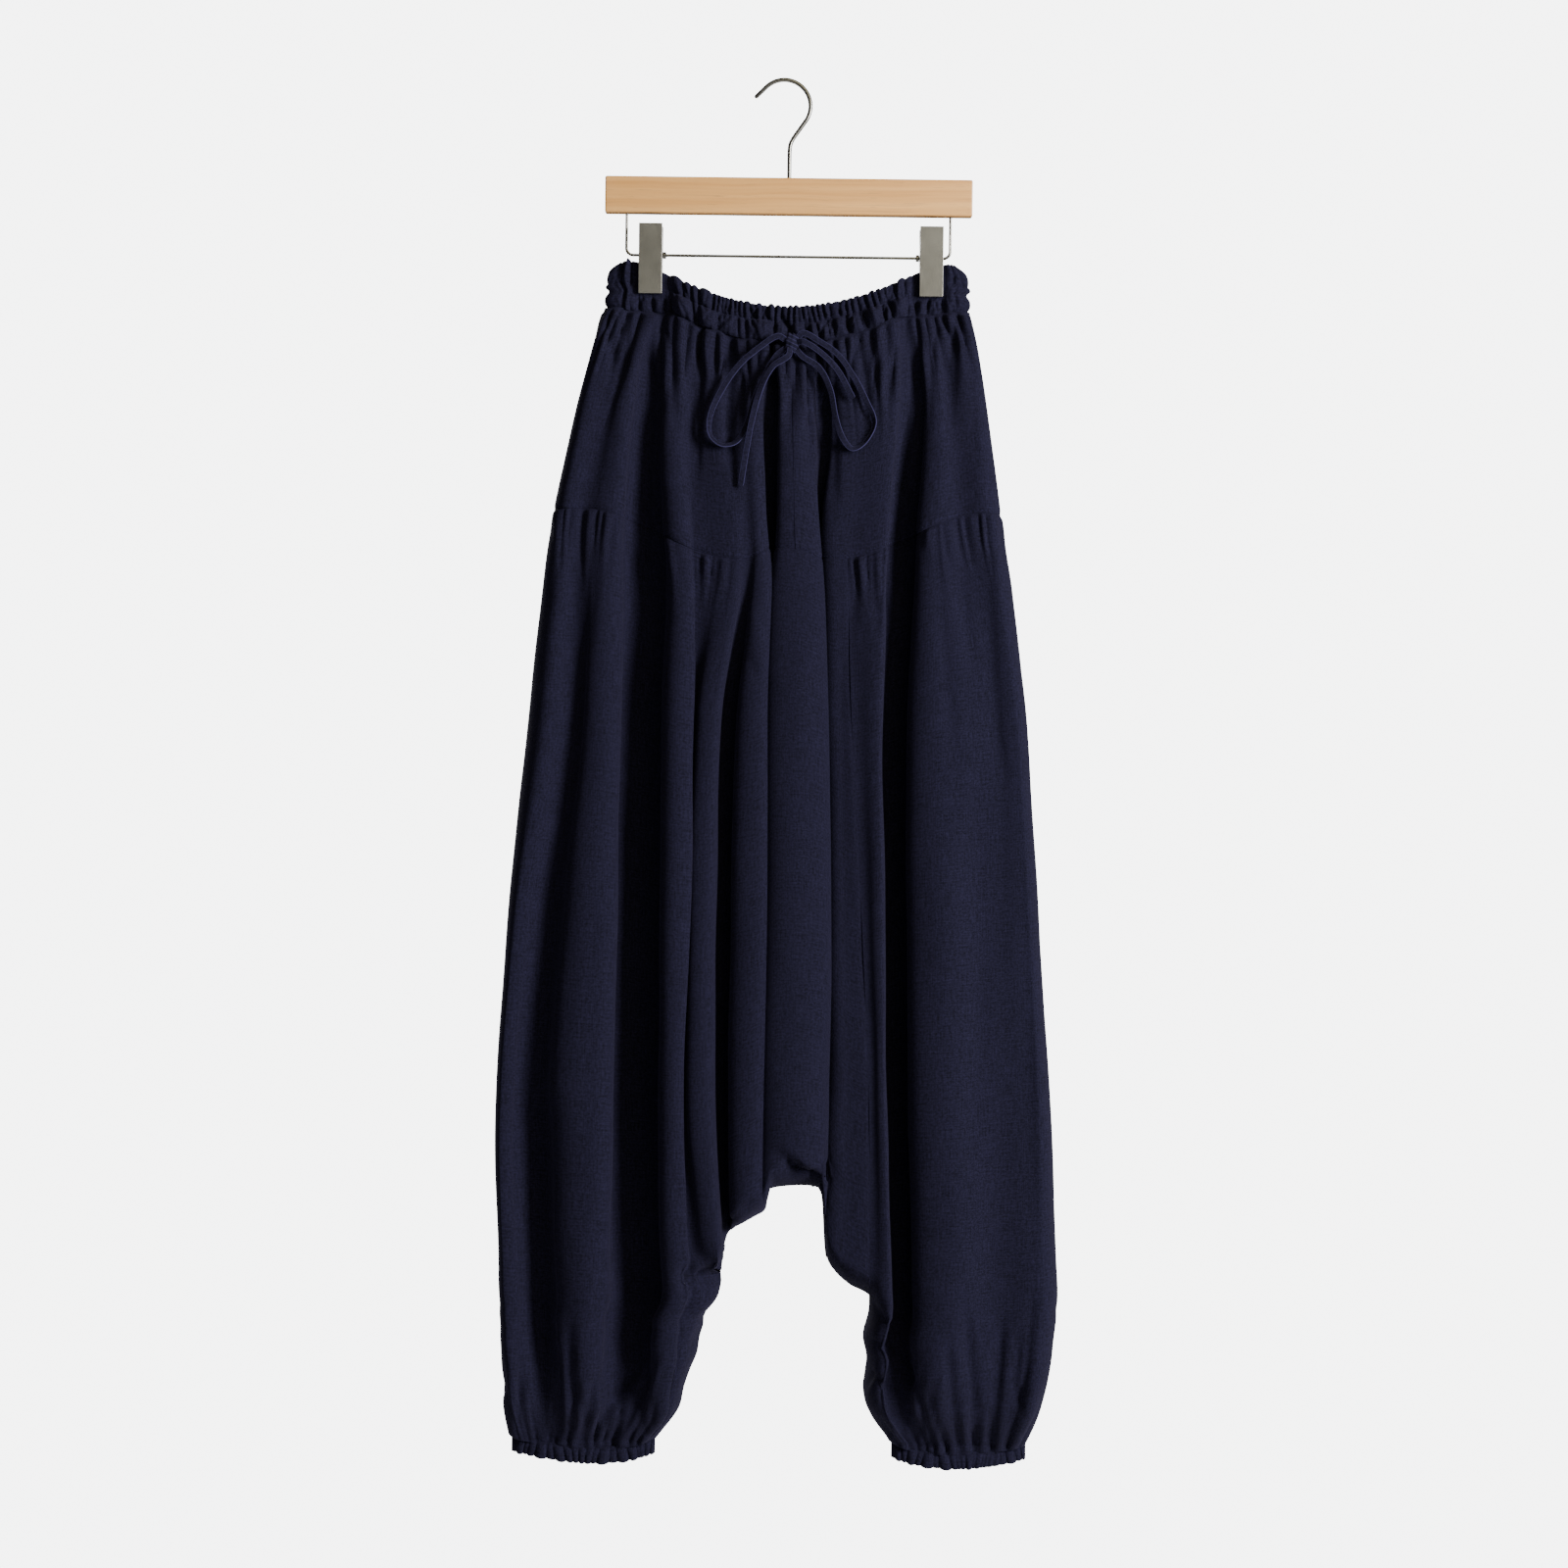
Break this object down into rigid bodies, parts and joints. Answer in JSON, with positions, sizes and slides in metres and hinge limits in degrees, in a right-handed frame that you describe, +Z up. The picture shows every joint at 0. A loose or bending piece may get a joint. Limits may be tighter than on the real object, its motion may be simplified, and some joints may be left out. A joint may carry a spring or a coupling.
{
  "type": "harem trousers on a clip hanger",
  "caption": "Gathered drawstring harem trousers with a deep gusset and elastic ankles, hung by two sprung clips from a flat wooden hanger.",
  "frame": {"origin": "the inner crown of the hanger's hook, where it hangs on a wall hook or rail", "axes": "+Z up, +X to the right as seen from the front, and the garment's front faces -Y"},
  "size_m": [0.4943, 0.0967, 1.2172],
  "materials": {
    "navy_cloth": "dark navy plain weave, matt, with a slight slub",
    "beech": "pale straight-grained wood under a satin lacquer",
    "satin_steel": "satin plated steel"
  },
  "bodies": {
    "root": {"waistband_front": "navy_cloth", "waistband_back": "navy_cloth", "yoke_front_left": "navy_cloth", "yoke_front_right": "navy_cloth", "yoke_back_left": "navy_cloth", "yoke_back_right": "navy_cloth", "leg_front_left": "navy_cloth", "leg_front_right": "navy_cloth", "leg_back_left": "navy_cloth", "leg_back_right": "navy_cloth", "gusset_front": "navy_cloth", "gusset_back": "navy_cloth", "cuff_front_left": "navy_cloth", "cuff_front_right": "navy_cloth", "cuff_back_left": "navy_cloth", "cuff_back_right": "navy_cloth", "tie_knot": "navy_cloth", "tie_loop_left": "navy_cloth", "tie_loop_right": "navy_cloth", "tie_end_left": "navy_cloth", "tie_end_right": "navy_cloth", "hanger_bar": "beech", "hanger_hook": "satin_steel", "hanger_frame": "satin_steel", "clip_left_front_jaw": "satin_steel", "clip_left_back_jaw": "satin_steel", "clip_left_spring": "satin_steel", "clip_left_collar": "satin_steel", "clip_right_front_jaw": "satin_steel", "clip_right_back_jaw": "satin_steel", "clip_right_spring": "satin_steel", "clip_right_collar": "satin_steel"}
  },
  "joints": []
}
